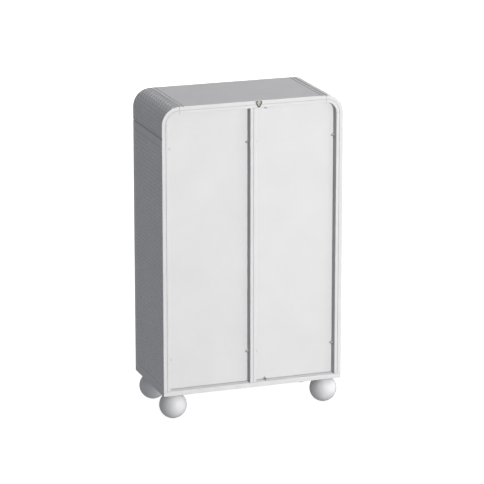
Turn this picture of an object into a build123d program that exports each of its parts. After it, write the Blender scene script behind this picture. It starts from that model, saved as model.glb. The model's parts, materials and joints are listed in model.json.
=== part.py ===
"""Tall two-door cabinet on four ball feet, with a double-skin shell whose top corners are rounded.

Millimetres. +Z is up. The doors face -Y and the open back recesses face +Y. The origin is on the
floor, under the middle of the whole object. "left" and "right" are as seen by someone who stands
in front of the doors, so left is -X.
"""
from build123d import *
from math import pi, sin
import os

os.makedirs("parts", exist_ok=True)

# Driving dimensions of the case
WIDTH = 812.0
DEPTH = 402.0
BODY_HEIGHT = 1265.0
CLADDING = 17.0  # outer skin
LINING = 14.0  # inner boards
BASE = 20.0
CORNER_RADIUS = 78.0
SIDE_SEAM_DROP = 135.0  # from the top down to the joint below the curved corner
TOP_BAND = 18.0  # plain strip between the corner and the top's sunk line
GROOVE_WIDTH = 3.0
GROOVE_DEPTH = 3.0
EDGE_BREAK = 1.2
SEAM_BREAK = 3.0
FIELD_BORDER = 28.0  # plain border in front of and behind the side's carved field
FIELD_TOP_BORDER = 35.0
FIELD_BOTTOM_BORDER = 15.0
FIELD_SINK = 1.5

# Feet
BALL_RADIUS = 59.5
FOOT_INSET = 60.0  # from the body's faces in to the middle of each ball
BALL_FLAT = 1.5  # cut off the ball at its top and at its bottom
GLIDE_RADIUS = 12.0
GLIDE_PEG_RADIUS = 3.0
GLIDE_PEG_LENGTH = 12.0
STUD_RADIUS = 4.0  # M8
STUD_IN_BALL = 40.0
STUD_IN_BASE = 16.0
NUT_BARREL_RADIUS = 5.0
NUT_BARREL_LENGTH = 9.5
NUT_FLANGE_RADIUS = 10.0
NUT_FLANGE = 1.5

# Back panels and what holds them
RECESS = 34.0
BACK_PANEL = 6.0
PANEL_GAP = 0.5
BATTEN = 10.0
BATTEN_FOOT = 8.0
PIN_RADIUS = 2.5
PIN_REACH = 10.0
PIN_EMBED = 9.0
PIN_DEPTH = 19.0  # from the back edges forward to the pin's axis
PIN_DROP = 182.0
PIN_RISE = 156.0
END_PIN_X = -64.0
WEDGE_REACH = 9.0
WEDGE_THICK = 7.5
WEDGE_THIN = 5.5
WEDGE_GAP = 0.1

# Tether ring
WIRE_RADIUS = 1.9
STRAP = 1.1
STRAP_WIDTH = 8.0
STRAP_LENGTH = 12.0
RING_X = -23.5
RING_DROP = 3.5
RING_HALF_WIDTH = 14.0
RING_POINT = 28.0  # where the two slanted sides would meet, below the pivot
RING_TOP_BEND = 3.2
RING_LOW_BEND = 4.0
TETHER_SCREW_DROP = 11.5

# Shelves
SHELF = 16.0
SHELVES = 3
SHELF_SIDE_GAP = 1.0
SHELF_FRONT = 26.0
SHELF_PIN_FRONT = 75.0
SHELF_PIN_BACK = 110.0
SHELF_PIN_DEPTH = 9.0
SHELF_PIN_PITCH = 32.0
PADDLE = 8.0
PADDLE_THICK = 4.0

# Doors
DOOR = 20.0
DOOR_GAP = 3.0
HINGE_GAP = 3.6
MEETING_GAP = 1.5  # each door stops this far from the middle
DOOR_BORDER = 40.0
DOOR_BOTTOM_BORDER = 45.0
REBATE = 8.0
DOOR_PANEL = 12.0
PANEL_CORNER = 12.0
PARTITION_SETBACK = 24.0
CONTACT_GAP = 0.3

# Butt hinges
LEAF = 1.6
LEAF_HEIGHT = 64.0
LEAF_DEPTH = 18.0
KNUCKLES = 5
KNUCKLE_RADIUS = 3.5
KNUCKLE_GAP = 0.4
HINGE_PROUD = 4.2  # from the doors' front face out to the hinge axis
HINGE_PIN_RADIUS = 1.5
RUNNING_GAP = 0.05
PIN_CAP_RADIUS = 2.6
PIN_CAP = 1.6
SCREW_RADIUS = 1.4
SCREW_HEAD_RADIUS = 2.9
FRAME_SCREW_LENGTH = 11.0
DOOR_SCREW_LENGTH = 16.0
LEAF_SCREW_PITCH = 22.0
LEAF_SCREW_DEPTH = 10.0

# Knobs, catches and bumpers
KNOB_REACH = 27.0
KNOB_BALL_RADIUS = 11.0
KNOB_NECK_RADIUS = 4.5
KNOB_BASE_RADIUS = 8.0
KNOB_BASE = 2.5
KNOB_SCREW_RADIUS = 2.0
KNOB_SCREW_BITE = 12.0
PAN_HEAD_RADIUS = 4.0
PAN_HEAD = 2.3
CATCH_X = 52.0
CATCH_WIDTH = 46.0
CATCH_HEIGHT = 19.0
CATCH_BACK = 50.0
MAGNET_WIDTH = 32.0
MAGNET_HEIGHT = 9.0
MAGNET_DROP = 6.0
MAGNET_BACK = 44.0
STRIKE = 1.5
STRIKE_WIDTH = 40.0
STRIKE_HEIGHT = 12.0
STRIKE_CORNER = 2.0
STRIKE_SCREW_STEP = 13.0
BUMPER_RADIUS = 4.0
BUMPER_X = 8.0
BUMPER_INSET = 120.0

# Dowels
DOWEL_RADIUS = 4.0
DOWEL_IN_BOARD = 18.0
DOWEL_IN_BASE = 12.0
DOWEL_IN_TOP = 9.0
DOWEL_INSET = 70.0

# Derived places
SHELL = CLADDING + LINING
LOOP_RADIUS = WIRE_RADIUS + RUNNING_GAP + STRAP
PIVOT_OUT = LOOP_RADIUS + RUNNING_GAP
RING_REACH = PIVOT_OUT + LOOP_RADIUS
FRONT = (KNOB_REACH - RING_REACH - DEPTH) / 2
BACK = FRONT + DEPTH
MIDDLE = (FRONT + BACK) / 2
HALF = WIDTH / 2
UNDERSIDE = 2 * BALL_RADIUS - BALL_FLAT
FLOOR_IN = UNDERSIDE + BASE
TOP = UNDERSIDE + BODY_HEIGHT
CEILING = TOP - SHELL
INSIDE = HALF - SHELL
CORNER_X = HALF - CORNER_RADIUS
CORNER_Z = TOP - CORNER_RADIUS
SIDE_SEAM = TOP - SIDE_SEAM_DROP
PARTITION_FRONT = FRONT + PARTITION_SETBACK
CATCH_SCREW_STEP = (CATCH_WIDTH + MAGNET_WIDTH) / 4  # from the catch's middle, between magnet and end
PANEL_BACK = BACK - RECESS
PANEL_FRONT = PANEL_BACK - BACK_PANEL
SHELF_BACK = PANEL_FRONT - BATTEN - SHELF_SIDE_GAP
UPPER_FIXING = TOP - PIN_DROP
LOWER_FIXING = UNDERSIDE + PIN_RISE
KNOB_Z = (LOWER_FIXING + UPPER_FIXING) / 2
HINGE_HEIGHTS = (LOWER_FIXING, KNOB_Z, UPPER_FIXING)
HINGE_X = INSIDE - HINGE_GAP / 2
HINGE_Y = FRONT - HINGE_PROUD
DOOR_BACK = FRONT + DOOR
DOOR_EDGE = INSIDE - HINGE_GAP
KNOB_X = MEETING_GAP + DOOR_BORDER / 2
SIDES = (("left", -1), ("right", 1))
SHELF_NAMES = ("lower", "middle", "upper")
SHELF_SPACE = (CEILING - FLOOR_IN - SHELVES * SHELF) / (SHELVES + 1)
SHELF_UNDERSIDES = [FLOOR_IN + (i + 1) * SHELF_SPACE + i * SHELF for i in range(SHELVES)]
SHELF_ROWS = (FRONT + SHELF_PIN_FRONT, BACK - SHELF_PIN_BACK)
LOW_CORNER = (Align.MIN, Align.MIN, Align.MIN)
ON_END = (Align.CENTER, Align.CENTER, Align.MIN)


def save(piece, name):
    """Labels a finished piece and writes it under its own name."""
    piece.part.label = name
    export_step(piece.part, f"parts/{name}.step")


def block(low, high, mode=Mode.ADD):
    """A box between two opposite corners, given in any order."""
    start = [min(a, b) for a, b in zip(low, high)]
    size = [abs(b - a) for a, b in zip(low, high)]
    with Locations(tuple(start)):
        Box(*size, align=LOW_CORNER, mode=mode)


def rod(origin, direction, radius, length, mode=Mode.ADD):
    """A round bar that starts at origin and runs along direction. As a cut, it is a drilled hole."""
    with Locations(Plane(origin=origin, z_dir=direction)):
        Cylinder(radius, length, align=ON_END, mode=mode)


def cone(origin, direction, mode=Mode.ADD):
    """The countersunk head of a hinge screw, as thick as the hinge leaf."""
    with Locations(Plane(origin=origin, z_dir=direction)):
        Cone(SCREW_HEAD_RADIUS, SCREW_RADIUS, LEAF, align=ON_END, mode=mode)


def upright(y):
    """A sketch plane facing the front at this y, on which x is world X and y is world Z."""
    return Plane.XZ.offset(-y)


def break_ends(piece):
    """Takes the sharp edge off a board's front and back ends."""
    ends = piece.faces().sort_by(Axis.Y)
    chamfer(ends[0].edges() + ends[-1].edges(), length=EDGE_BREAK)


def long_edge(piece, x, z):
    """The edge that runs from front to back at this x and z."""
    return piece.edges().filter_by(Axis.Y).sort_by_distance((x, MIDDLE, z))[0]


def shell_corner(sign, outer, thickness, foot):
    """Profile of a rounded corner board: a quarter turn, then straight down to foot."""
    inner = outer - thickness
    slant = sin(pi / 4)
    centre_x = sign * CORNER_X
    with BuildLine() as outline:
        Line((centre_x, CORNER_Z + inner), (centre_x, CORNER_Z + outer))
        ThreePointArc(
            (centre_x, CORNER_Z + outer),
            (centre_x + sign * outer * slant, CORNER_Z + outer * slant),
            (centre_x + sign * outer, CORNER_Z),
        )
        if foot < CORNER_Z:
            Line((centre_x + sign * outer, CORNER_Z), (centre_x + sign * outer, foot))
        Line((centre_x + sign * outer, foot), (centre_x + sign * inner, foot))
        if foot < CORNER_Z:
            Line((centre_x + sign * inner, foot), (centre_x + sign * inner, CORNER_Z))
        ThreePointArc(
            (centre_x + sign * inner, CORNER_Z),
            (centre_x + sign * inner * slant, CORNER_Z + inner * slant),
            (centre_x, CORNER_Z + inner),
        )
    make_face(outline.edges())


def foot_places():
    """Where the four ball feet stand: name, x and y."""
    places = []
    for end, y in (("front", FRONT + FOOT_INSET), ("back", BACK - FOOT_INSET)):
        for side, sign in SIDES:
            places.append((f"{end}_{side}", sign * (HALF - FOOT_INSET), y))
    return places


def pin_places(wall_x, into_bay):
    """The two retaining pins on an upright wall: a point on the wall and the pin's direction."""
    y = BACK - PIN_DEPTH
    return [((wall_x, y, z), (into_bay, 0, 0)) for z in (LOWER_FIXING, UPPER_FIXING)]


def end_pin_places():
    """The pins that stand up from the base and hang from the ceiling of one bay."""
    y = BACK - PIN_DEPTH
    return [((END_PIN_X, y, FLOOR_IN), (0, 0, 1)), ((END_PIN_X, y, CEILING), (0, 0, -1))]


def all_pins():
    """Every retaining pin of the two back panels."""
    pins = end_pin_places()
    for _, sign in SIDES:
        pins += pin_places(sign * INSIDE, -sign)
        pins += pin_places(sign * LINING, sign)
    return pins


def opposite(direction):
    return tuple(-a for a in direction)


def drill_pins(places):
    """Holes for the retaining pins, drilled into the wall."""
    for point, direction in places:
        rod(point, opposite(direction), PIN_RADIUS, PIN_EMBED, mode=Mode.SUBTRACT)


def drill_shelf_rows(wall_x, into_wall):
    """Short columns of shelf-pin holes around each shelf's height."""
    for y in SHELF_ROWS:
        for underside in SHELF_UNDERSIDES:
            for step in (-1, 0, 1):
                z = underside - PADDLE_THICK / 2 + step * SHELF_PIN_PITCH
                start = (wall_x, y, z)
                rod(start, (into_wall, 0, 0), PIN_RADIUS, SHELF_PIN_DEPTH, mode=Mode.SUBTRACT)


def dowel_columns():
    """The x of each upright board's middle."""
    columns = []
    for _, sign in SIDES:
        columns.append(sign * (INSIDE + LINING / 2))
        columns.append(sign * LINING / 2)
    return columns


def dowel_rows():
    return (FRONT + DOWEL_INSET, BACK - DOWEL_INSET)


def base_dowel_starts():
    return [(x, y, FLOOR_IN - DOWEL_IN_BASE) for x in dowel_columns() for y in dowel_rows()]


def top_dowel_starts():
    z = CEILING - DOWEL_IN_BOARD
    return [(sign * LINING / 2, y, z) for _, sign in SIDES for y in dowel_rows()]


BASE_DOWEL = DOWEL_IN_BASE + DOWEL_IN_BOARD
TOP_DOWEL = DOWEL_IN_TOP + DOWEL_IN_BOARD


def drill_dowels():
    """Every dowel hole of the case. A board only meets the ones that run into it."""
    for start in base_dowel_starts():
        rod(start, (0, 0, 1), DOWEL_RADIUS, BASE_DOWEL, mode=Mode.SUBTRACT)
    for start in top_dowel_starts():
        rod(start, (0, 0, 1), DOWEL_RADIUS, TOP_DOWEL, mode=Mode.SUBTRACT)


def leaf_screw_heights():
    """Heights of all the screws in one door's hinges."""
    steps = (-LEAF_SCREW_PITCH, 0, LEAF_SCREW_PITCH)
    return [z + step for z in HINGE_HEIGHTS for step in steps]


def bay_outline(sign, gap):
    """One bay seen from the front, kept clear of its walls by gap, with the round outer corner."""
    inner = sign * (LINING + gap)
    outer = sign * (INSIDE - gap)
    with BuildLine() as outline:
        Polyline(
            (inner, CEILING - gap),
            (inner, FLOOR_IN + gap),
            (outer, FLOOR_IN + gap),
            (outer, CEILING - gap),
            close=True,
        )
    make_face(outline.edges())


def outer_top_vertex(sketch, sign):
    """The upper corner of an upright sketch that lies farthest from the cabinet's middle."""
    return sketch.vertices().sort_by(Axis.Y)[-2:].sort_by(Axis.X)[-1 if sign > 0 else 0]


# ---------------------------------------------------------------- base board
with BuildPart() as base_board:
    block((-HALF, FRONT, UNDERSIDE), (HALF, BACK, FLOOR_IN))
    break_ends(base_board)
    drill_dowels()
    drill_pins(end_pin_places()[:1])
    for _, x, y in foot_places():
        rod((x, y, UNDERSIDE), (0, 0, 1), STUD_RADIUS, BASE, mode=Mode.SUBTRACT)
        rod((x, y, FLOOR_IN), (0, 0, -1), NUT_FLANGE_RADIUS, NUT_FLANGE, mode=Mode.SUBTRACT)
        nut_depth = NUT_FLANGE + NUT_BARREL_LENGTH
        rod((x, y, FLOOR_IN), (0, 0, -1), NUT_BARREL_RADIUS, nut_depth, mode=Mode.SUBTRACT)
save(base_board, "base_board")

# ---------------------------------------------------------------- side boards and cladding
for side, sign in SIDES:
    with BuildPart() as lining:
        block((sign * INSIDE, FRONT, FLOOR_IN), (sign * (INSIDE + LINING), BACK, CORNER_Z))
        break_ends(lining)
        drill_dowels()
        drill_pins(pin_places(sign * INSIDE, -sign))
        drill_shelf_rows(sign * INSIDE, sign)
        for z in leaf_screw_heights():
            start = (sign * INSIDE, FRONT + LEAF_SCREW_DEPTH, z)
            rod(start, (sign, 0, 0), SCREW_RADIUS, FRAME_SCREW_LENGTH, mode=Mode.SUBTRACT)
    save(lining, f"inner_side_{side}")

    with BuildPart() as cladding:
        block((sign * (HALF - CLADDING), FRONT, FLOOR_IN), (sign * HALF, BACK, SIDE_SEAM))
        field_low = (sign * (HALF - FIELD_SINK), FRONT + FIELD_BORDER, FLOOR_IN + FIELD_BOTTOM_BORDER)
        field_high = (sign * HALF, BACK - FIELD_BORDER, SIDE_SEAM - FIELD_TOP_BORDER)
        block(field_low, field_high, mode=Mode.SUBTRACT)
        chamfer(long_edge(cladding, sign * HALF, SIDE_SEAM), length=SEAM_BREAK)
        break_ends(cladding)
    save(cladding, f"side_cladding_{side}")

    with BuildPart() as corner_skin:
        with BuildSketch(upright(BACK)):
            shell_corner(sign, CORNER_RADIUS, CLADDING, SIDE_SEAM)
        extrude(amount=DEPTH)
        chamfer(long_edge(corner_skin, sign * CORNER_X, TOP), length=SEAM_BREAK)
        chamfer(long_edge(corner_skin, sign * HALF, SIDE_SEAM), length=SEAM_BREAK)
        break_ends(corner_skin)
    save(corner_skin, f"corner_cladding_{side}")

    with BuildPart() as corner_board:
        with BuildSketch(upright(BACK)):
            shell_corner(sign, CORNER_RADIUS - CLADDING, LINING, CORNER_Z)
        extrude(amount=DEPTH)
        break_ends(corner_board)
    save(corner_board, f"inner_corner_{side}")

# ---------------------------------------------------------------- top boards
with BuildPart() as inner_top:
    block((-CORNER_X, FRONT, CEILING), (CORNER_X, BACK, TOP - CLADDING))
    break_ends(inner_top)
    drill_dowels()
    drill_pins(end_pin_places()[1:])
    for _, sign in SIDES:
        for step in (-1, 1):
            x = sign * CATCH_X + step * CATCH_SCREW_STEP
            y = FRONT + (PARTITION_SETBACK + CATCH_BACK) / 2
            rod((x, y, CEILING), (0, 0, 1), SCREW_RADIUS, FRAME_SCREW_LENGTH, mode=Mode.SUBTRACT)
save(inner_top, "inner_top_board")

with BuildPart() as top_plate:
    block((-CORNER_X, FRONT, TOP - CLADDING), (CORNER_X, BACK, TOP))
    for _, sign in SIDES:
        chamfer(long_edge(top_plate, sign * CORNER_X, TOP), length=SEAM_BREAK)
    break_ends(top_plate)
    for _, sign in SIDES:
        line_x = sign * (CORNER_X - TOP_BAND)
        line_low = (line_x - GROOVE_WIDTH / 2, FRONT, TOP - GROOVE_DEPTH)
        block(line_low, (line_x + GROOVE_WIDTH / 2, BACK, TOP), mode=Mode.SUBTRACT)
    tether_screw_hole = (RING_X, BACK, TOP - TETHER_SCREW_DROP)
    rod(tether_screw_hole, (0, -1, 0), SCREW_RADIUS, DOOR_SCREW_LENGTH, mode=Mode.SUBTRACT)
save(top_plate, "top_plate")

# ---------------------------------------------------------------- partition, back panels, shelves
for side, sign in SIDES:
    with BuildPart() as partition:
        block((0, PARTITION_FRONT, FLOOR_IN), (sign * LINING, BACK, CEILING))
        break_ends(partition)
        drill_dowels()
        drill_pins(pin_places(sign * LINING, sign))
        drill_shelf_rows(sign * LINING, -sign)
    save(partition, f"partition_{side}")

    with BuildPart() as back_panel:
        with BuildSketch(upright(PANEL_BACK)) as panel_outline:
            bay_outline(sign, PANEL_GAP)
            corner = outer_top_vertex(panel_outline, sign)
            fillet(corner, CORNER_RADIUS - SHELL - PANEL_GAP)
        extrude(amount=BACK_PANEL)
    save(back_panel, f"back_panel_{side}")

    for level, underside in zip(SHELF_NAMES, SHELF_UNDERSIDES):
        with BuildPart() as shelf:
            shelf_low = (sign * (LINING + SHELF_SIDE_GAP), FRONT + SHELF_FRONT, underside)
            shelf_high = (sign * (INSIDE - SHELF_SIDE_GAP), SHELF_BACK, underside + SHELF)
            block(shelf_low, shelf_high)
            chamfer(shelf.edges().filter_by(Axis.X), length=EDGE_BREAK)
        save(shelf, f"shelf_{side}_{level}")

with BuildPart() as battens:
    for _, sign in SIDES:
        for wall_x, step in ((sign * INSIDE, -sign), (sign * LINING, sign)):
            batten_low = (wall_x, PANEL_FRONT - BATTEN, FLOOR_IN + BATTEN_FOOT)
            block(batten_low, (wall_x + step * BATTEN, PANEL_FRONT, CORNER_Z - BATTEN_FOOT))
save(battens, "back_stop_battens")

with BuildPart() as retaining_pins:
    for point, direction in all_pins():
        rod(point, direction, PIN_RADIUS, PIN_REACH)
        rod(point, opposite(direction), PIN_RADIUS, PIN_EMBED)
save(retaining_pins, "back_panel_pins")

with BuildPart() as wedges:
    wedge_length = RECESS - PIN_DEPTH - PIN_RADIUS - WEDGE_GAP
    for point, direction in all_pins():
        seat = (point[0], PANEL_BACK, point[2])
        with BuildSketch(Plane(origin=seat, x_dir=(0, 1, 0), z_dir=direction)):
            with BuildLine():
                Polyline(
                    (0, -WEDGE_THICK / 2),
                    (wedge_length, -WEDGE_THIN / 2),
                    (wedge_length, WEDGE_THIN / 2),
                    (0, WEDGE_THICK / 2),
                    close=True,
                )
            make_face()
        extrude(amount=WEDGE_REACH)
save(wedges, "back_panel_wedges")

with BuildPart() as shelf_pins:
    for _, sign in SIDES:
        for wall_x, step in ((sign * INSIDE, -sign), (sign * LINING, sign)):
            for y in SHELF_ROWS:
                for underside in SHELF_UNDERSIDES:
                    z = underside - PADDLE_THICK / 2
                    rod((wall_x, y, z), (-step, 0, 0), PIN_RADIUS, SHELF_PIN_DEPTH)
                    paddle_low = (wall_x, y - PADDLE / 2, underside - PADDLE_THICK)
                    block(paddle_low, (wall_x + step * PADDLE, y + PADDLE / 2, underside))
save(shelf_pins, "shelf_pins")

with BuildPart() as dowels:
    for start in base_dowel_starts():
        rod(start, (0, 0, 1), DOWEL_RADIUS, BASE_DOWEL)
    for start in top_dowel_starts():
        rod(start, (0, 0, 1), DOWEL_RADIUS, TOP_DOWEL)
save(dowels, "assembly_dowels")

# ---------------------------------------------------------------- tether ring on the back edge of the top
with BuildPart() as strap:
    hinge_point = (RING_X - STRAP_WIDTH / 2, BACK + PIVOT_OUT, TOP - RING_DROP)
    rod(hinge_point, (1, 0, 0), LOOP_RADIUS, STRAP_WIDTH)
    plate_low = (RING_X - STRAP_WIDTH / 2, BACK, TOP - RING_DROP - STRAP_LENGTH)
    block(plate_low, (RING_X + STRAP_WIDTH / 2, BACK + STRAP, TOP - RING_DROP))
    rod(hinge_point, (1, 0, 0), WIRE_RADIUS + RUNNING_GAP, STRAP_WIDTH, mode=Mode.SUBTRACT)
    screw_seat = (RING_X, BACK, TOP - TETHER_SCREW_DROP)
    rod(screw_seat, (0, 1, 0), SCREW_RADIUS, STRAP, mode=Mode.SUBTRACT)
save(strap, "tether_strap")

with BuildPart() as tether_screw:
    rod((RING_X, BACK + STRAP, TOP - TETHER_SCREW_DROP), (0, 1, 0), SCREW_HEAD_RADIUS, LEAF)
    fillet(tether_screw.edges().sort_by(Axis.Y)[-1], LEAF / 2)
    screw_length = DOOR_SCREW_LENGTH + STRAP
    rod((RING_X, BACK + STRAP, TOP - TETHER_SCREW_DROP), (0, -1, 0), SCREW_RADIUS, screw_length)
save(tether_screw, "tether_screw")

with BuildPart() as ring:
    ring_plane = Plane(
        origin=(RING_X, BACK + PIVOT_OUT, TOP - RING_DROP), x_dir=(1, 0, 0), z_dir=(0, -1, 0)
    )
    with BuildLine(ring_plane) as ring_path:
        FilletPolyline(
            (-RING_HALF_WIDTH, 0),
            (RING_HALF_WIDTH, 0),
            (0, -RING_POINT),
            radius=[RING_TOP_BEND, RING_TOP_BEND, RING_LOW_BEND],
            close=True,
        )
    top_bar = ring_path.edges().sort_by(Axis.Z)[-1]
    with BuildSketch(Plane(origin=top_bar @ 0.5, z_dir=top_bar % 0.5)):
        Circle(WIRE_RADIUS)
    sweep(path=ring_path.wires()[0])
save(ring, "tether_ring")

# ---------------------------------------------------------------- doors
for side, sign in SIDES:
    opening_inner = sign * (MEETING_GAP + DOOR_BORDER)
    opening_outer = sign * (DOOR_EDGE - DOOR_BORDER)
    opening_low = FLOOR_IN + DOOR_GAP + DOOR_BOTTOM_BORDER
    opening_high = CEILING - DOOR_GAP - DOOR_BORDER
    opening_width = abs(opening_outer - opening_inner)
    opening_height = opening_high - opening_low
    opening_centre = ((opening_inner + opening_outer) / 2, (opening_low + opening_high) / 2)

    with BuildPart() as door_frame:
        with BuildSketch(upright(DOOR_BACK)) as door_outline:
            with BuildLine():
                Polyline(
                    (sign * MEETING_GAP, CEILING - DOOR_GAP),
                    (sign * MEETING_GAP, FLOOR_IN + DOOR_GAP),
                    (sign * DOOR_EDGE, FLOOR_IN + DOOR_GAP),
                    (sign * DOOR_EDGE, CEILING - DOOR_GAP),
                    close=True,
                )
            make_face()
            corner = outer_top_vertex(door_outline, sign)
            fillet(corner, CORNER_RADIUS - SHELL - DOOR_GAP)
            with Locations(opening_centre):
                RectangleRounded(opening_width, opening_height, PANEL_CORNER, mode=Mode.SUBTRACT)
        extrude(amount=DOOR)
        break_ends(door_frame)
        with BuildSketch(upright(DOOR_BACK)):
            with Locations(opening_centre):
                rebate_size = (opening_width + 2 * REBATE, opening_height + 2 * REBATE)
                RectangleRounded(*rebate_size, PANEL_CORNER + REBATE)
        extrude(amount=DOOR_PANEL, mode=Mode.SUBTRACT)
        rod((sign * KNOB_X, FRONT, KNOB_Z), (0, 1, 0), KNOB_SCREW_RADIUS, DOOR, mode=Mode.SUBTRACT)
        for z in leaf_screw_heights():
            start = (sign * DOOR_EDGE, FRONT + LEAF_SCREW_DEPTH, z)
            rod(start, (-sign, 0, 0), SCREW_RADIUS, DOOR_SCREW_LENGTH, mode=Mode.SUBTRACT)
        for step in (-1, 1):
            x = sign * CATCH_X + step * STRIKE_SCREW_STEP
            z = CEILING - MAGNET_DROP - MAGNET_HEIGHT / 2 - DOOR_GAP
            rod((x, DOOR_BACK, z), (0, -1, 0), SCREW_RADIUS, DOOR / 2, mode=Mode.SUBTRACT)
    save(door_frame, f"door_frame_{side}")

    with BuildPart() as door_panel:
        with BuildSketch(upright(DOOR_BACK)):
            with Locations(opening_centre):
                RectangleRounded(*rebate_size, PANEL_CORNER + REBATE)
        extrude(amount=DOOR_PANEL)
    save(door_panel, f"door_panel_{side}")

    with BuildPart() as knob:
        ball_centre = KNOB_REACH - KNOB_BALL_RADIUS
        neck_end = ball_centre - (KNOB_BALL_RADIUS**2 - KNOB_NECK_RADIUS**2) ** 0.5
        foot_of_knob = (sign * KNOB_X, FRONT, KNOB_Z)
        with BuildSketch(Plane(origin=foot_of_knob, x_dir=(1, 0, 0), z_dir=(0, 0, -1))):
            with BuildLine():
                Polyline(
                    (0, KNOB_REACH),
                    (0, 0),
                    (KNOB_BASE_RADIUS, 0),
                    (KNOB_BASE_RADIUS, KNOB_BASE),
                    (KNOB_NECK_RADIUS, KNOB_BASE),
                    (KNOB_NECK_RADIUS, neck_end),
                )
                ThreePointArc(
                    (KNOB_NECK_RADIUS, neck_end), (KNOB_BALL_RADIUS, ball_centre), (0, KNOB_REACH)
                )
            make_face()
        revolve(axis=Axis(foot_of_knob, (0, -1, 0)))
        rod(foot_of_knob, (0, -1, 0), KNOB_SCREW_RADIUS, KNOB_SCREW_BITE, mode=Mode.SUBTRACT)
    save(knob, f"knob_{side}")

    with BuildPart() as knob_screw:
        head_seat = (sign * KNOB_X, DOOR_BACK, KNOB_Z)
        rod(head_seat, (0, 1, 0), PAN_HEAD_RADIUS, PAN_HEAD)
        fillet(knob_screw.edges().sort_by(Axis.Y)[-1], PAN_HEAD / 2)
        rod(head_seat, (0, -1, 0), KNOB_SCREW_RADIUS, DOOR + KNOB_SCREW_BITE)
    save(knob_screw, f"knob_screw_{side}")

    with BuildPart() as strike:
        strike_z = CEILING - MAGNET_DROP - MAGNET_HEIGHT / 2 - DOOR_GAP
        with Locations((sign * CATCH_X, DOOR_BACK + STRIKE / 2, strike_z)):
            Box(STRIKE_WIDTH, STRIKE, STRIKE_HEIGHT)
        chamfer(strike.edges().filter_by(Axis.Y), length=STRIKE_CORNER)
        for step in (-1, 1):
            x = sign * CATCH_X + step * STRIKE_SCREW_STEP
            rod((x, DOOR_BACK, strike_z), (0, 1, 0), SCREW_RADIUS, STRIKE, mode=Mode.SUBTRACT)
    save(strike, f"strike_plate_{side}")

    with BuildPart() as strike_screws:
        for step in (-1, 1):
            x = sign * CATCH_X + step * STRIKE_SCREW_STEP
            rod((x, DOOR_BACK + STRIKE, strike_z), (0, -1, 0), SCREW_RADIUS, STRIKE + DOOR / 2)
    save(strike_screws, f"strike_screws_{side}")

# ---------------------------------------------------------------- butt hinges
for side, sign in SIDES:
    segment = LEAF_HEIGHT / KNUCKLES
    notch = HINGE_Y + KNUCKLE_RADIUS + KNUCKLE_GAP
    leaf_back = FRONT + LEAF_DEPTH
    for leaf_name, wall_x, step, first in (
        (f"hinge_case_leaves_{side}", sign * INSIDE, -sign, 0),
        (f"hinge_door_leaves_{side}", sign * DOOR_EDGE, sign, 1),
    ):
        with BuildPart() as leaves:
            for hinge_z in HINGE_HEIGHTS:
                low_z = hinge_z - LEAF_HEIGHT / 2
                high_z = hinge_z + LEAF_HEIGHT / 2
                block((wall_x, notch, low_z), (wall_x + step * LEAF, leaf_back, high_z))
                for i in range(first, KNUCKLES, 2):
                    start_z = low_z + i * segment + KNUCKLE_GAP / 2
                    height = segment - KNUCKLE_GAP
                    rod((sign * HINGE_X, HINGE_Y, start_z), (0, 0, 1), KNUCKLE_RADIUS, height)
                    web_high = (wall_x + step * LEAF, leaf_back, start_z + height)
                    block((wall_x, HINGE_Y, start_z), web_high)
                bore = HINGE_PIN_RADIUS + first * RUNNING_GAP
                bore_start = (sign * HINGE_X, HINGE_Y, low_z)
                rod(bore_start, (0, 0, 1), bore, LEAF_HEIGHT, mode=Mode.SUBTRACT)
            for z in leaf_screw_heights():
                head = (wall_x + step * LEAF, FRONT + LEAF_SCREW_DEPTH, z)
                cone(head, (-step, 0, 0), mode=Mode.SUBTRACT)
        save(leaves, leaf_name)

    with BuildPart() as door_screws:
        for z in leaf_screw_heights():
            cone((sign * (DOOR_EDGE + LEAF), FRONT + LEAF_SCREW_DEPTH, z), (-sign, 0, 0))
            start = (sign * DOOR_EDGE, FRONT + LEAF_SCREW_DEPTH, z)
            rod(start, (-sign, 0, 0), SCREW_RADIUS, DOOR_SCREW_LENGTH)
    save(door_screws, f"hinge_door_screws_{side}")

with BuildPart() as case_screws:
    for _, sign in SIDES:
        for z in leaf_screw_heights():
            cone((sign * (INSIDE - LEAF), FRONT + LEAF_SCREW_DEPTH, z), (sign, 0, 0))
            start = (sign * INSIDE, FRONT + LEAF_SCREW_DEPTH, z)
            rod(start, (sign, 0, 0), SCREW_RADIUS, FRAME_SCREW_LENGTH)
save(case_screws, "hinge_case_screws")

with BuildPart() as hinge_pins:
    for _, sign in SIDES:
        for hinge_z in HINGE_HEIGHTS:
            low = (sign * HINGE_X, HINGE_Y, hinge_z - LEAF_HEIGHT / 2)
            high = (sign * HINGE_X, HINGE_Y, hinge_z + LEAF_HEIGHT / 2)
            rod(low, (0, 0, 1), HINGE_PIN_RADIUS, LEAF_HEIGHT)
            rod(low, (0, 0, -1), PIN_CAP_RADIUS, PIN_CAP)
            rod(high, (0, 0, 1), PIN_CAP_RADIUS, PIN_CAP)
save(hinge_pins, "hinge_pins")

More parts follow.
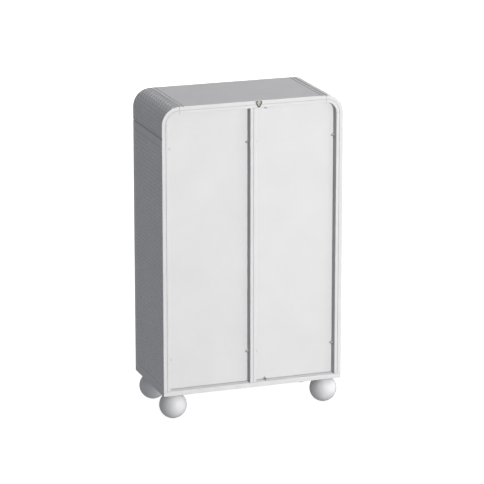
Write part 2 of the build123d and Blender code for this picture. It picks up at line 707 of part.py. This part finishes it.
# ---------------------------------------------------------------- magnetic catches and bumpers
with BuildPart() as catches:
    for _, sign in SIDES:
        centre = sign * CATCH_X
        low = (centre - CATCH_WIDTH / 2, PARTITION_FRONT, CEILING - CATCH_HEIGHT)
        block(low, (centre + CATCH_WIDTH / 2, FRONT + CATCH_BACK, CEILING))
        slot_high = (centre + MAGNET_WIDTH / 2, FRONT + MAGNET_BACK, CEILING - MAGNET_DROP)
        slot_low = (centre - MAGNET_WIDTH / 2, PARTITION_FRONT, slot_high[2] - MAGNET_HEIGHT)
        block(slot_low, slot_high, mode=Mode.SUBTRACT)
        for step in (-1, 1):
            x = centre + step * CATCH_SCREW_STEP
            y = FRONT + (PARTITION_SETBACK + CATCH_BACK) / 2
            start = (x, y, CEILING - CATCH_HEIGHT)
            rod(start, (0, 0, 1), SCREW_RADIUS, CATCH_HEIGHT, mode=Mode.SUBTRACT)
save(catches, "catch_housings")

with BuildPart() as magnets:
    magnet_front = DOOR_BACK + STRIKE + CONTACT_GAP
    for _, sign in SIDES:
        high = (sign * CATCH_X + MAGNET_WIDTH / 2, FRONT + MAGNET_BACK, CEILING - MAGNET_DROP)
        low = (sign * CATCH_X - MAGNET_WIDTH / 2, magnet_front, high[2] - MAGNET_HEIGHT)
        block(low, high)
save(magnets, "catch_magnets")

with BuildPart() as catch_screws:
    for _, sign in SIDES:
        for step in (-1, 1):
            x = sign * CATCH_X + step * CATCH_SCREW_STEP
            y = FRONT + (PARTITION_SETBACK + CATCH_BACK) / 2
            start = (x, y, CEILING - CATCH_HEIGHT)
            rod(start, (0, 0, 1), SCREW_RADIUS, CATCH_HEIGHT + FRAME_SCREW_LENGTH)
            rod(start, (0, 0, -1), SCREW_HEAD_RADIUS, LEAF)
save(catch_screws, "catch_screws")

with BuildPart() as bumpers:
    bumper_reach = PARTITION_SETBACK - DOOR - CONTACT_GAP
    for x in (-BUMPER_X, BUMPER_X):
        for z in (FLOOR_IN + BUMPER_INSET, CEILING - BUMPER_INSET):
            rod((x, PARTITION_FRONT, z), (0, -1, 0), BUMPER_RADIUS, bumper_reach)
save(bumpers, "door_bumpers")

# ---------------------------------------------------------------- ball feet
for place, x, y in foot_places():
    with BuildPart() as ball:
        with Locations((x, y, BALL_RADIUS)):
            Sphere(BALL_RADIUS)
        split(bisect_by=Plane.XY.offset(BALL_FLAT), keep=Keep.TOP)
        split(bisect_by=Plane.XY.offset(UNDERSIDE), keep=Keep.BOTTOM)
        rod((x, y, UNDERSIDE), (0, 0, -1), STUD_RADIUS, STUD_IN_BALL, mode=Mode.SUBTRACT)
        rod((x, y, BALL_FLAT), (0, 0, 1), GLIDE_PEG_RADIUS, GLIDE_PEG_LENGTH, mode=Mode.SUBTRACT)
    save(ball, f"ball_foot_{place}")

with BuildPart() as studs:
    for _, x, y in foot_places():
        start = (x, y, UNDERSIDE - STUD_IN_BALL)
        rod(start, (0, 0, 1), STUD_RADIUS, STUD_IN_BALL + STUD_IN_BASE)
save(studs, "foot_studs")

with BuildPart() as nuts:
    for _, x, y in foot_places():
        rod((x, y, FLOOR_IN), (0, 0, -1), NUT_FLANGE_RADIUS, NUT_FLANGE)
        rod((x, y, FLOOR_IN), (0, 0, -1), NUT_BARREL_RADIUS, NUT_FLANGE + NUT_BARREL_LENGTH)
        nut_bore = NUT_FLANGE + NUT_BARREL_LENGTH
        rod((x, y, FLOOR_IN), (0, 0, -1), STUD_RADIUS, nut_bore, mode=Mode.SUBTRACT)
save(nuts, "foot_tee_nuts")

with BuildPart() as glides:
    for _, x, y in foot_places():
        rod((x, y, 0), (0, 0, 1), GLIDE_RADIUS, BALL_FLAT)
        rod((x, y, BALL_FLAT), (0, 0, 1), GLIDE_PEG_RADIUS, GLIDE_PEG_LENGTH)
save(glides, "foot_glides")
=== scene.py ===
"""Looks, light and camera for a tall two-door cabinet on ball feet. Metres, in the model's frame."""
import json
import math

import bmesh
import bpy
import numpy as np
from mathutils import Matrix, Vector


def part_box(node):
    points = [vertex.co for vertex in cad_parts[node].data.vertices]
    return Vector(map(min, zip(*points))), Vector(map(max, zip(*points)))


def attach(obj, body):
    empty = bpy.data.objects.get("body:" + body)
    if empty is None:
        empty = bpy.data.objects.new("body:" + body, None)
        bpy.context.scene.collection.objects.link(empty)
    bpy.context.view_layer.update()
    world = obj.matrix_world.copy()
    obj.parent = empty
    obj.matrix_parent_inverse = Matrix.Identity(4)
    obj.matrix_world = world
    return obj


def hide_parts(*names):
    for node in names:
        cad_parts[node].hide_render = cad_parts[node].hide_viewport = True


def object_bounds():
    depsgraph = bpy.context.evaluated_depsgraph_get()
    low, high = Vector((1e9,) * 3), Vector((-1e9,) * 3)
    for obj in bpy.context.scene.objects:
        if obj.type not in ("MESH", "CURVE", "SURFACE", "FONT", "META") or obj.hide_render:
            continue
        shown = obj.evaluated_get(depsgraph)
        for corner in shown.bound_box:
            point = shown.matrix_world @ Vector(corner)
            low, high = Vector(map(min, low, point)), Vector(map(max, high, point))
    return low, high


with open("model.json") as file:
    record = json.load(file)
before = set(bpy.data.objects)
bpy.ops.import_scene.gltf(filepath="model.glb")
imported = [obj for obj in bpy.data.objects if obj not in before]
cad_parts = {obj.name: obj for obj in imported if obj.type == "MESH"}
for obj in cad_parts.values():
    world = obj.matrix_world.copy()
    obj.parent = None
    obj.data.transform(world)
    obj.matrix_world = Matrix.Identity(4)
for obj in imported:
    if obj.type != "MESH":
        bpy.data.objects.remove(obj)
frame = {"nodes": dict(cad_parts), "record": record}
cad_low, cad_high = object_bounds()
scene = bpy.context.scene

# ---------------------------------------------------------------- node helpers
class Nodes:
    """Builds a material's node tree with short calls."""

    def __init__(self, name):
        self.material = bpy.data.materials.new(name)
        self.material.use_nodes = True
        self.tree = self.material.node_tree
        self.shader = self.tree.nodes["Principled BSDF"]
        self.coords = self.tree.nodes.new("ShaderNodeTexCoord").outputs["Object"]

    def new(self, kind, **settings):
        node = self.tree.nodes.new("ShaderNode" + kind)
        for key, value in settings.items():
            setattr(node, key, value)
        return node

    def link(self, output, target):
        self.tree.links.new(output, target)

    def stretched(self, scale):
        """Object coordinates scaled by a different amount along each axis."""
        mapping = self.new("Mapping")
        mapping.inputs["Scale"].default_value = scale
        self.link(self.coords, mapping.inputs["Vector"])
        return mapping.outputs["Vector"]

    def noise(self, scale, detail=3.0, rough=0.5, vector=None, distortion=0.0):
        node = self.new("TexNoise")
        node.inputs["Scale"].default_value = scale
        node.inputs["Detail"].default_value = detail
        node.inputs["Roughness"].default_value = rough
        node.inputs["Distortion"].default_value = distortion
        self.link(self.coords if vector is None else vector, node.inputs["Vector"])
        return node.outputs["Fac"]

    def ramp(self, value, low, high, start=0.3, end=0.7):
        """Maps a 0 to 1 value to a range of plain numbers."""
        node = self.new("MapRange")
        node.inputs["From Min"].default_value = start
        node.inputs["From Max"].default_value = end
        node.inputs["To Min"].default_value = low
        node.inputs["To Max"].default_value = high
        self.link(value, node.inputs["Value"])
        return node.outputs["Result"]

    def blend(self, factor, first, second):
        """A colour between two others, by a 0 to 1 factor. Each is a tuple or an output."""
        node = self.new("Mix", data_type="RGBA")
        self.link(factor, node.inputs["Factor"])
        for name, colour in (("A", first), ("B", second)):
            socket = [s for s in node.inputs if s.name == name and s.type == "RGBA"][0]
            if isinstance(colour, tuple):
                socket.default_value = (*colour, 1.0)
            else:
                self.link(colour, socket)
        return [s for s in node.outputs if s.type == "RGBA"][0]

    def bump(self, height, distance, strength=1.0, base=None):
        node = self.new("Bump")
        node.inputs["Strength"].default_value = strength
        node.inputs["Distance"].default_value = distance
        self.link(height, node.inputs["Height"])
        if base is not None:
            self.link(base, node.inputs["Normal"])
        return node.outputs["Normal"]

    def painted_shade_mask(self, reach, start=0.35, end=0.95):
        """Mask for painted shade: 1 on open faces, falling to 0 in joints and hollows narrower than
        reach.
        """
        node = self.new("AmbientOcclusion", samples=8)
        node.inputs["Distance"].default_value = reach
        return self.ramp(node.outputs["AO"], 0.0, 1.0, start, end)

    def put(self, name, output):
        self.link(output, self.shader.inputs[name])

    def set(self, **values):
        for name, value in values.items():
            self.shader.inputs[name.replace("_", " ")].default_value = value


def lacquer(name, colours, shade_colour, reach, rough, coat, grain, axis, peel):
    """Painted board: colour drift, painted shade in joints and hollows, brush grain along one axis,
    orange peel.

    The darker colour argument is painted shade, put in hollows narrower than reach; grain and peel are
    bump heights.
    """
    n = Nodes(name)
    drift = n.ramp(n.noise(7.0, 4.0, 0.6), 0.0, 1.0)
    scale = [150.0, 150.0, 150.0]
    scale[axis] = 5.0
    strokes = n.noise(1.0, 3.0, 0.55, n.stretched(scale), 0.4)
    # Painted shade: the darker colour goes into joints, seams and carved hollows wherever the occlusion
    # mask falls.
    n.put("Base Color", n.blend(n.painted_shade_mask(reach), shade_colour, n.blend(drift, *colours)))
    n.put("Roughness", n.ramp(n.noise(26.0, 4.0, 0.6), rough - 0.05, rough + 0.06))
    low = n.bump(strokes, grain)
    n.put("Normal", n.bump(n.noise(420.0, 2.0, 0.5), peel, base=low))
    n.set(Coat_Weight=coat, Coat_Roughness=0.18)
    return n.material


def metal(name, first, second, low, high, brush, brush_axis):
    """Brushed or aged metal: patches of tarnish, fine scratches and uneven gloss."""
    n = Nodes(name)
    scale = [900.0, 900.0, 900.0]
    scale[brush_axis] = 60.0
    scratches = n.noise(1.0, 2.0, 0.5, n.stretched(scale))
    patches = n.ramp(n.noise(240.0, 4.0, 0.65), 0.0, 1.0)
    n.put("Base Color", n.blend(patches, first, second))
    n.put("Roughness", n.ramp(n.noise(300.0, 3.0, 0.6), low, high))
    n.put("Normal", n.bump(scratches, brush))
    n.set(Metallic=1.0)
    return n.material


def moulded(name, first, second, rough, texture, weight=0.0):
    """Moulded plastic or rubber: fine spark-eroded texture and slight clouding."""
    n = Nodes(name)
    n.put("Base Color", n.blend(n.ramp(n.noise(60.0, 3.0), 0.0, 1.0), first, second))
    n.put("Roughness", n.ramp(n.noise(200.0, 3.0), rough - 0.06, rough + 0.08))
    n.put("Normal", n.bump(n.noise(1500.0, 2.0), texture))
    n.set(Transmission_Weight=weight)
    return n.material


def timber(name):
    """Turned beech: long grain, with the short dark flecks of its rays."""
    n = Nodes(name)
    rings = n.noise(1.0, 4.0, 0.6, n.stretched((160.0, 160.0, 9.0)), 1.2)
    flecks = n.noise(1.0, 2.0, 0.5, n.stretched((900.0, 900.0, 140.0)))
    body = n.blend(n.ramp(rings, 0.0, 1.0), (0.52, 0.34, 0.18), (0.70, 0.50, 0.30))
    n.put("Base Color", n.blend(n.ramp(flecks, 0.0, 0.6, 0.58, 0.72), body, (0.38, 0.22, 0.11)))
    n.put("Roughness", n.ramp(rings, 0.5, 0.68))
    n.put("Normal", n.bump(flecks, 0.0002))
    return n.material


UP, ACROSS = 2, 0  # the axis that a grain runs along
WHITE = ((0.80, 0.80, 0.795), (0.83, 0.83, 0.828))
GLOSS_WHITE = ((0.83, 0.83, 0.83), (0.85, 0.85, 0.85))
# Painted shade colours, laid into joints, seams and carved hollows; the darkest, for the carved boards,
# stands in for the shade of the lattice.
PAINTED_SHADE = (0.34, 0.335, 0.32)
CARVED_PAINTED_SHADE = (0.12, 0.12, 0.125)
GLOSS_PAINTED_SHADE = (0.55, 0.55, 0.55)
flat_paint = {"rough": 0.42, "coat": 0.08, "grain": 0.00006, "peel": 0.00002}
carved_paint = {"rough": 0.46, "coat": 0.05, "grain": 0.00004, "peel": 0.00003}
gloss_paint = {"rough": 0.16, "coat": 0.8, "grain": 0.00001, "peel": 0.00001}
upright = lacquer("lacquer_upright", WHITE, PAINTED_SHADE, 0.004, axis=UP, **flat_paint)
level = lacquer("lacquer_level", WHITE, PAINTED_SHADE, 0.004, axis=ACROSS, **flat_paint)
carved = lacquer("lacquer_carved", WHITE, CARVED_PAINTED_SHADE, 0.012, axis=UP, **carved_paint)
gloss = lacquer("lacquer_gloss", GLOSS_WHITE, GLOSS_PAINTED_SHADE, 0.004, axis=UP, **gloss_paint)
brass = metal("brass_aged", (0.20, 0.19, 0.09), (0.42, 0.39, 0.22), 0.30, 0.48, 0.00005, 2)
steel = metal("steel_zinc", (0.68, 0.68, 0.69), (0.82, 0.82, 0.82), 0.34, 0.50, 0.00004, 2)
nylon = moulded("nylon_white", (0.78, 0.78, 0.76), (0.84, 0.84, 0.82), 0.45, 0.00005)
rubber = moulded("rubber_clear", (0.72, 0.72, 0.70), (0.80, 0.80, 0.78), 0.40, 0.00004, 0.35)
beech = timber("beech_turned")

SLOT_MATERIALS = {
    "satin_lacquer": upright,
    "gloss_lacquer": gloss,
    "aged_brass": brass,
    "zinc_steel": steel,
    "white_nylon": nylon,
    "clear_rubber": rubber,
    "beech": beech,
}
LEVEL_NODES = ("top_plate", "inner_top_board", "base_board")


def paint_nodes():
    """Gives each CAD node the material of its slot, with the grain along its length."""
    for part in frame["record"]["subparts"]:
        node = frame["nodes"][part["node"]]
        material = SLOT_MATERIALS[part["material_slot"]]
        if part["node"] in LEVEL_NODES or part["node"].startswith("shelf_") and material == upright:
            material = level
        node.data.materials.clear()
        node.data.materials.append(material)


paint_nodes()


# ---------------------------------------------------------------- carved boards
GRID = 0.0020  # step between points over the carved fields
RELIEF = 0.0036  # how deep the ground lies under the outer surface
RIB_HALF = 0.0046
RIB_TOP = 0.92  # how high ribs and bosses stand, where a knot is 1
BOSS_TOP = 0.86
UNEVEN = 0.10  # how much the hand-cut knots and bosses differ in height
BOSS_RADIUS = 0.0076
KNOT_RADIUS = 0.0072
EDGE = 0.0012  # chamfers: at the plain edges, and where two skins meet
SEAM = 0.003
SIDE_BORDER = 0.028
SIDE_TOP_BORDER = 0.035
SIDE_BOTTOM_BORDER = 0.015
SIDE_CELLS = (30, 10)
CORNER_RADIUS = 0.078
CORNER_BORDER = 0.0075
CORNER_CELLS = (5, 12)
DOOR_REBATE = 0.008  # the door's panel runs this far under its frame
DOOR_MARGIN = 0.012
DOOR_CELLS = (32, 8)
DOOR_FIELD = 0.0045  # thickness of the carved field planted on the door's panel


def dome(distance, radius):
    """Height of a round boss, 1 in its middle and 0 at its rim."""
    return np.sqrt(np.clip(1.0 - (distance / radius) ** 2, 0.0, 1.0))


def lattice(rises, tall, depths, deep, cells):
    """How far the outer face sinks over a carved field: 0 at the surface, -RELIEF in the ground.

    rises and depths are measured from the field's corner, and it is zero outside the field, which is
    tall by deep and has a number of cells each way.
    """
    u, v = np.meshgrid(rises / tall * cells[0], depths / deep * cells[1], indexing="ij")
    pitch = (tall / cells[0] + deep / cells[1]) / 2
    inside = (u > 0) & (u < cells[0]) & (v > 0) & (v < cells[1])
    height = np.zeros(u.shape)
    for slant in (u + v, u - v):
        across = np.abs(slant - np.round(slant)) * pitch / math.sqrt(2)
        rib = np.where(across < RIB_HALF, 0.5 + 0.5 * np.cos(math.pi * across / RIB_HALF), 0.0)
        height = np.maximum(height, RIB_TOP * rib)
    for shift, radius, top in ((0.0, KNOT_RADIUS, 1.0), (0.5, BOSS_RADIUS, BOSS_TOP)):
        a = np.round(u + v - shift) + shift
        b = np.round(u - v - shift) + shift
        centre_u, centre_v = (a + b) / 2, (a - b) / 2
        away = np.hypot(u - centre_u, v - centre_v) * pitch
        uneven = 1.0 - UNEVEN * ((np.sin(centre_u * 12.9 + centre_v * 78.2) * 43758.5) % 1.0)
        height = np.maximum(height, top * uneven * dome(away, radius))
    return np.where(inside, (height - 1.0) * RELIEF, 0.0)


def lines(size, start, end, first, last):
    """Grid lines across a board: its chamfers, then even steps over the carved field."""
    steps = max(2, round((end - start) / GRID))
    field = np.linspace(start, end, steps + 1)
    return np.unique(np.concatenate(([0.0, first], field, [size - last, size])))


def ends(values, size, first, last):
    """How far each grid line is cut back by the chamfers at both ends."""
    return np.minimum(np.clip(values - first, None, 0.0), np.clip(size - values - last, None, 0.0))


def board(name, rises, depths, curve, drop, thickness, front):
    """A closed board whose outer face follows curve(rise) and sinks by drop, with broken inner edges.

    curve gives x, z and the outward normal's x and z for each rise.
    """
    x, z, normal_x, normal_z = curve(rises)
    y = front + depths
    rows, columns = len(rises), len(depths)
    outer = np.empty((rows, columns, 3))
    outer[..., 0] = x[:, None] + normal_x[:, None] * drop
    outer[..., 1] = y[None, :]
    outer[..., 2] = z[:, None] + normal_z[:, None] * drop
    rims = []
    for inset, step in ((thickness - EDGE, 0.0), (thickness, EDGE)):
        for place in (y[0] + step, y[-1] - step):
            rims.append(np.stack((x - normal_x * inset, np.full(rows, place), z - normal_z * inset), 1))
    points = np.concatenate([outer.reshape(-1, 3), *rims])
    grid = np.arange(rows * columns).reshape(rows, columns)
    front_mid, back_mid, front_in, back_in = (
        rows * columns + k * rows + np.arange(rows) for k in range(4)
    )

    def strip(one, other):
        return np.stack((one[:-1], one[1:], other[1:], other[:-1]), 1).tolist()

    faces = np.stack(
        (grid[:-1, :-1], grid[1:, :-1], grid[1:, 1:], grid[:-1, 1:]), 2
    ).reshape(-1, 4).tolist()
    carved_count = len(faces)
    faces += strip(grid[:, 0], front_mid) + strip(front_mid, front_in) + strip(front_in, back_in)
    faces += strip(back_in, back_mid) + strip(back_mid, grid[:, -1])
    for end in (0, -1):
        rim = [front_mid[end], front_in[end], back_in[end], back_mid[end]]
        faces.append([int(i) for i in list(grid[end]) + rim[::-1]])
    mesh = bpy.data.meshes.new(name)
    mesh.from_pydata(points.tolist(), [], faces)
    smooth = np.zeros(len(faces), bool)
    smooth[:carved_count] = True
    mesh.polygons.foreach_set("use_smooth", smooth)
    editor = bmesh.new()
    editor.from_mesh(mesh)
    bmesh.ops.recalc_face_normals(editor, faces=editor.faces)
    editor.to_mesh(mesh)
    editor.free()
    thing = bpy.data.objects.new(name, mesh)
    scene.collection.objects.link(thing)
    mesh.materials.append(carved)
    return thing


def carved_side(side, sign):
    """The side's skin: a flat board with the lattice between plain borders."""
    low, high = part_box(f"side_cladding_{side}")
    tall, deep = high.z - low.z, high.y - low.y
    face = high.x if sign > 0 else low.x
    rises = lines(tall, SIDE_BOTTOM_BORDER, tall - SIDE_TOP_BORDER, EDGE, SEAM)
    depths = lines(deep, SIDE_BORDER, deep - SIDE_BORDER, EDGE, EDGE)
    drop = lattice(
        rises - SIDE_BOTTOM_BORDER,
        tall - SIDE_TOP_BORDER - SIDE_BOTTOM_BORDER,
        depths - SIDE_BORDER,
        deep - 2 * SIDE_BORDER,
        SIDE_CELLS,
    )
    drop = np.minimum(drop, ends(rises, tall, 0.0, SEAM)[:, None])
    drop = np.minimum(drop, ends(depths, deep, EDGE, EDGE)[None, :])

    def curve(rise):
        flat = np.zeros(len(rise))
        return flat + face, low.z + rise, flat + sign, flat

    thing = board(f"carved_side_{side}", rises, depths, curve, drop, high.x - low.x, low.y)
    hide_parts(f"side_cladding_{side}")
    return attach(thing, "cabinet")


def carved_corner(side, sign):
    """The bent skin over the rounded corner, carved from the top's edge down to the side's seam."""
    low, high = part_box(f"corner_cladding_{side}")
    side_low, side_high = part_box(f"side_cladding_{side}")
    thickness = side_high.x - side_low.x
    face = high.x if sign > 0 else low.x
    centre_x, centre_z = face - sign * CORNER_RADIUS, high.z - CORNER_RADIUS
    turn = CORNER_RADIUS * math.pi / 2
    length, deep = turn + centre_z - low.z, high.y - low.y
    rises = lines(length, CORNER_BORDER, length - CORNER_BORDER, SEAM, SEAM)
    depths = lines(deep, CORNER_BORDER, deep - CORNER_BORDER, EDGE, EDGE)
    drop = lattice(
        rises - CORNER_BORDER,
        length - 2 * CORNER_BORDER,
        depths - CORNER_BORDER,
        deep - 2 * CORNER_BORDER,
        CORNER_CELLS,
    )
    drop = np.minimum(drop, ends(rises, length, SEAM, SEAM)[:, None])
    drop = np.minimum(drop, ends(depths, deep, EDGE, EDGE)[None, :])

    def curve(rise):
        angle = np.clip(rise / CORNER_RADIUS, 0.0, math.pi / 2)
        normal_x, normal_z = sign * np.sin(angle), np.cos(angle)
        below = np.clip(rise - turn, 0.0, None)
        x = centre_x + normal_x * CORNER_RADIUS
        return x, centre_z + normal_z * CORNER_RADIUS - below, normal_x, normal_z

    thing = board(f"carved_corner_{side}", rises, depths, curve, drop, thickness, low.y)
    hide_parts(f"corner_cladding_{side}")
    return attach(thing, "cabinet")


def carved_door(side):
    """The carved field planted on a door's panel, built facing +X and then turned to face the front."""
    low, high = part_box(f"door_panel_{side}")
    inset = DOOR_REBATE + DOOR_MARGIN
    tall, wide = high.z - low.z - 2 * inset, high.x - low.x - 2 * inset
    rises = lines(tall, EDGE, tall - EDGE, EDGE, EDGE)
    across = lines(wide, EDGE, wide - EDGE, EDGE, EDGE)
    drop = lattice(rises, tall, across, wide, DOOR_CELLS)
    drop = np.minimum(drop, ends(rises, tall, EDGE, EDGE)[:, None])
    drop = np.minimum(drop, ends(across, wide, EDGE, EDGE)[None, :])

    def curve(rise):
        flat = np.zeros(len(rise))
        return flat + DOOR_FIELD - low.y, low.z + inset + rise, flat + 1.0, flat

    thing = board(f"carved_door_{side}", rises, across, curve, drop, DOOR_FIELD, low.x + inset)
    thing.data.transform(Matrix.Rotation(-math.pi / 2, 4, "Z"))
    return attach(thing, f"door_{side}")


for side, sign in (("left", -1), ("right", 1)):
    carved_side(side, sign)
    carved_corner(side, sign)
    carved_door(side)


# ---------------------------------------------------------------- floor, light and camera
def look(thing, target):
    """Turns a lamp or camera so that it faces a point."""
    thing.rotation_euler = (Vector(target) - thing.location).to_track_quat("-Z", "Y").to_euler()


def softbox(name, place, target, size, power, colour=(1.0, 1.0, 1.0)):
    data = bpy.data.lights.new(name, "AREA")
    data.shape = "RECTANGLE"
    data.size, data.size_y = size
    data.energy = power
    data.color = colour
    lamp = bpy.data.objects.new(name, data)
    scene.collection.objects.link(lamp)
    lamp.location = place
    look(lamp, target)
    return lamp


middle = (cad_low + cad_high) / 2


def toward(azimuth, height, distance):
    """A place seen from the cabinet's middle: azimuth from the back's normal towards -X, in degrees."""
    a, h = math.radians(azimuth), math.radians(height)
    aim = Vector((-math.sin(a) * math.cos(h), math.cos(a) * math.cos(h), math.sin(h)))
    return middle + distance * aim


LAMP_COLOUR = (1.0, 0.985, 0.978)
LAMPS = (  # name, azimuth, height, distance, size, brightness of a white face turned to it
    ("key", 38.0, 8.0, 8.0, 4.0, 0.59),
    ("fill", 2.0, 3.0, 8.0, 4.0, 0.29),
    ("rake", 84.0, 38.0, 8.0, 4.0, 0.42),
    ("front", 175.0, 8.0, 8.0, 4.0, 0.62),
    ("spark", 17.0, 52.0, 6.0, 1.0, 0.03),
)
GLINTS = ("rake", "spark")  # the lamps that show as reflections
BOUNCING = 0.06  # the share of each lamp's light that goes on from face to face

# The shallow recesses of the back throw no shadow from these lamps, as in flat catalogue light.
blockers = bpy.data.collections.new("lamp_blockers")
for name, node in frame["nodes"].items():
    if name == "base_board" or name.startswith("ball_foot"):
        blockers.objects.link(node)
for name, azimuth, height, distance, size, bright in LAMPS:
    power = bright * (math.pi * distance) ** 2
    for end, share, bounces in (("first", 1.0 - BOUNCING, 0), ("bounced", BOUNCING, 8)):
        place = toward(azimuth, height, distance)
        lamp = softbox(f"{name}_{end}", place, middle, (size, size), power * share, LAMP_COLOUR)
        lamp.data.cycles.max_bounces = bounces
        lamp.light_linking.blocker_collection = blockers
        lamp.visible_camera = False
        lamp.visible_glossy = name in GLINTS

FLOOR_HALF = 40.0
BACKDROP_RADIUS = 38.0
mesh = bpy.data.meshes.new("floor")
corners = [(-1, -1), (1, -1), (1, 1), (-1, 1)]
mesh.from_pydata([(x * FLOOR_HALF, y * FLOOR_HALF, 0) for x, y in corners], [], [(0, 1, 2, 3)])
floor = bpy.data.objects.new("floor", mesh)
scene.collection.objects.link(floor)
paper = Nodes("floor_paper")
paper.put("Base Color", paper.blend(paper.noise(3.0), (0.30, 0.30, 0.30), (0.32, 0.32, 0.32)))
paper.put("Normal", paper.bump(paper.noise(90.0), 0.0004))
paper.set(Roughness=0.9, Specular_IOR_Level=0.1, Emission_Color=(1, 1, 1, 1), Emission_Strength=0.92)
floor.data.materials.append(paper.material)

bpy.ops.mesh.primitive_uv_sphere_add(segments=48, ring_count=24, radius=BACKDROP_RADIUS)
backdrop = bpy.context.object
backdrop.name = "backdrop"
cloth = Nodes("backdrop_white")
cloth.put("Base Color", cloth.blend(cloth.noise(3.0), (0.90, 0.90, 0.90), (0.92, 0.92, 0.92)))
cloth.set(Roughness=0.9, Emission_Color=(1, 1, 1, 1), Emission_Strength=1.0)
backdrop.data.materials.append(cloth.material)
backdrop.visible_shadow = False
for piece in (floor, backdrop):
    piece.visible_diffuse = False
    piece.visible_glossy = False

world = bpy.data.worlds.new("studio")
scene.world = world
world.use_nodes = True
background = world.node_tree.nodes["Background"]
background.inputs["Color"].default_value = (0.905, 0.925, 1.0, 1.0)
background.inputs["Strength"].default_value = 0.243

scene.view_settings.view_transform = "Standard"
scene.view_settings.look = "None"

CAMERA_OFFSET = Vector((3.96008, 11.21070, 3.86759))  # from the middle of the body's underside
CAMERA_LENS = 211.83
CAMERA_AZIMUTH = math.radians(19.545)
CAMERA_PITCH = math.radians(15.374)
base_low, base_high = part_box("base_board")
underside = Vector(((base_low.x + base_high.x) / 2, (base_low.y + base_high.y) / 2, base_low.z))
camera = bpy.data.objects.new("camera", bpy.data.cameras.new("camera"))
scene.collection.objects.link(camera)
camera.location = underside + CAMERA_OFFSET
camera.data.lens = CAMERA_LENS
camera.data.sensor_width = 36.0
camera.data.clip_end = 200.0
look(camera, camera.location - Vector((
    math.sin(CAMERA_AZIMUTH) * math.cos(CAMERA_PITCH),
    math.cos(CAMERA_AZIMUTH) * math.cos(CAMERA_PITCH),
    math.sin(CAMERA_PITCH),
)))
scene.camera = camera
